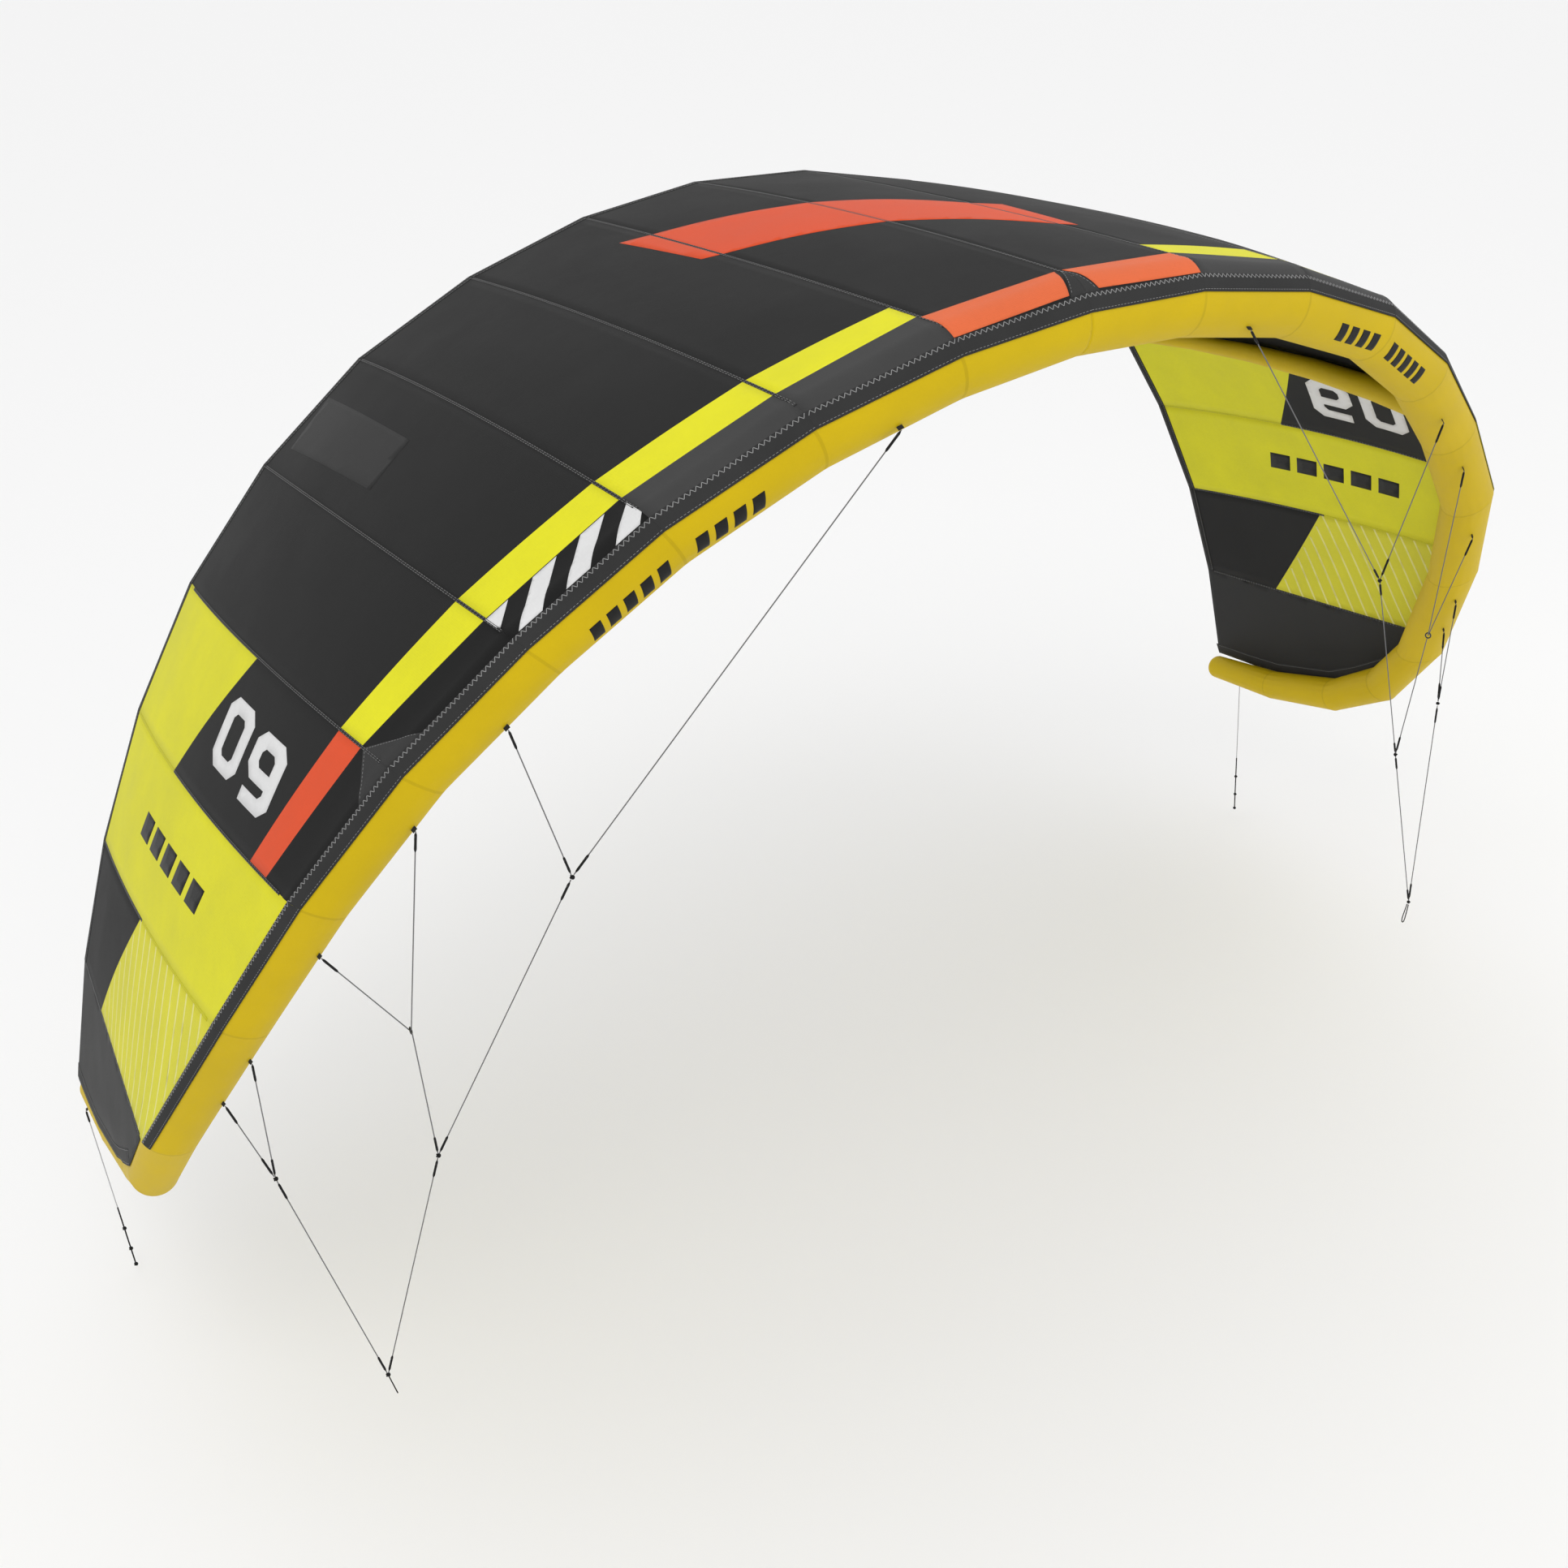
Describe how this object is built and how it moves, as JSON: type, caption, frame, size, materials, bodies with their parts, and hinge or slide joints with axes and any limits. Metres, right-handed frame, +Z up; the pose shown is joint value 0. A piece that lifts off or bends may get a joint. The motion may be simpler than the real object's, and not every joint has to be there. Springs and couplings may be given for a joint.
{
  "type": "kitesurf kite",
  "caption": "Arched inflatable kitesurf kite: yellow inflated leading edge and struts, dark and lime panelled canopy, forked bridle lines and pigtails.",
  "frame": {"origin": "centre of the leading edge tube on the kite's centre line, the point the flying kite is taken as held at", "axes": "+X to the wing tip on the kite's right as seen in the front view, +Y from the leading edge to the trailing edge, +Z up, away from the lines"},
  "size_m": [4.0434, 1.8052, 2.6918],
  "materials": {
    "casing_cloth": "woven polyester, matt",
    "bladder_film": "thin clear-white film",
    "canopy_dark": "ripstop, dark with a lime stripe",
    "canopy_lime": "ripstop, lime yellow with dark and orange blocks",
    "canopy_tip": "ripstop with a reinforced corner",
    "hem_cloth": "folded cloth, double stitched",
    "strip_cloth": "coarse woven cloth, zig-zag stitched",
    "line_cord": "braided cord",
    "sleeve_cord": "dark sewn sleeve",
    "ring_plastic": "smooth moulded",
    "tab_webbing": "narrow webbing",
    "hose_plastic": "translucent hose",
    "fitting_plastic": "moulded",
    "clip_plastic": "moulded",
    "lever_plastic": "moulded",
    "valve_plastic": "moulded",
    "cap_plastic": "moulded"
  },
  "bodies": {
    "kite": {"bridle_knots_left": "sleeve_cord", "bridle_knots_right": "sleeve_cord", "bridle_lines_left": "line_cord", "bridle_lines_right": "line_cord", "bridle_sleeves_left": "sleeve_cord", "bridle_sleeves_right": "sleeve_cord", "canopy_left_1": "canopy_dark", "canopy_left_2": "canopy_dark", "canopy_left_3": "canopy_dark", "canopy_left_4": "canopy_dark", "canopy_left_5": "canopy_dark", "canopy_left_6": "canopy_lime", "canopy_left_7": "canopy_lime", "canopy_left_8": "canopy_lime", "canopy_left_9": "canopy_tip", "canopy_right_1": "canopy_dark", "canopy_right_2": "canopy_dark", "canopy_right_3": "canopy_dark", "canopy_right_4": "canopy_dark", "canopy_right_5": "canopy_dark", "canopy_right_6": "canopy_lime", "canopy_right_7": "canopy_lime", "canopy_right_8": "canopy_lime", "canopy_right_9": "canopy_tip", "clip_body_centre": "clip_plastic", "dump_valve": "valve_plastic", "front_loop_left": "line_cord", "front_loop_right": "line_cord", "hose_fittings": "fitting_plastic", "hoses": "hose_plastic", "inflate_valve": "valve_plastic", "le_bladder_left": "bladder_film", "le_bladder_right": "bladder_film", "le_casing_left": "casing_cloth", "le_casing_right": "casing_cloth", "le_strip_left": "strip_cloth", "le_strip_right": "strip_cloth", "line_tabs_left": "tab_webbing", "line_tabs_right": "tab_webbing", "pulley_line_left": "line_cord", "pulley_line_right": "line_cord", "rear_leader_left": "line_cord", "rear_leader_right": "line_cord", "slider_ring_left": "ring_plastic", "slider_ring_right": "ring_plastic", "strut_bladder_centre": "bladder_film", "strut_bladder_left": "bladder_film", "strut_bladder_right": "bladder_film", "strut_casing_centre": "casing_cloth", "strut_casing_left": "casing_cloth", "strut_casing_right": "casing_cloth", "te_hem_left": "hem_cloth", "te_hem_right": "hem_cloth"},
    "clip_lever_centre": {"clip_lever_centre": "lever_plastic"},
    "inflate_cap": {"inflate_cap": "cap_plastic"},
    "dump_cap": {"dump_cap": "cap_plastic"}
  },
  "joints": [
    {"name": "clip_lever_centre_hinge", "type": "hinge", "parent": "kite", "child": "clip_lever_centre", "pos_m": [0.0161, 0.13051, -0.10355], "axis": [0.1235, -0.9923, -0.0125], "range_deg": [0, 100]},
    {"name": "inflate_cap_hinge", "type": "hinge", "parent": "kite", "child": "inflate_cap", "pos_m": [0.13499, 0.05492, -0.09709], "axis": [-0.9952, -0.021, 0.0958], "range_deg": [0, 115]},
    {"name": "dump_cap_hinge", "type": "hinge", "parent": "kite", "child": "dump_cap", "pos_m": [-0.13484, 0.05273, -0.09913], "axis": [-0.9952, 0.021, -0.0958], "range_deg": [0, 115]}
  ]
}
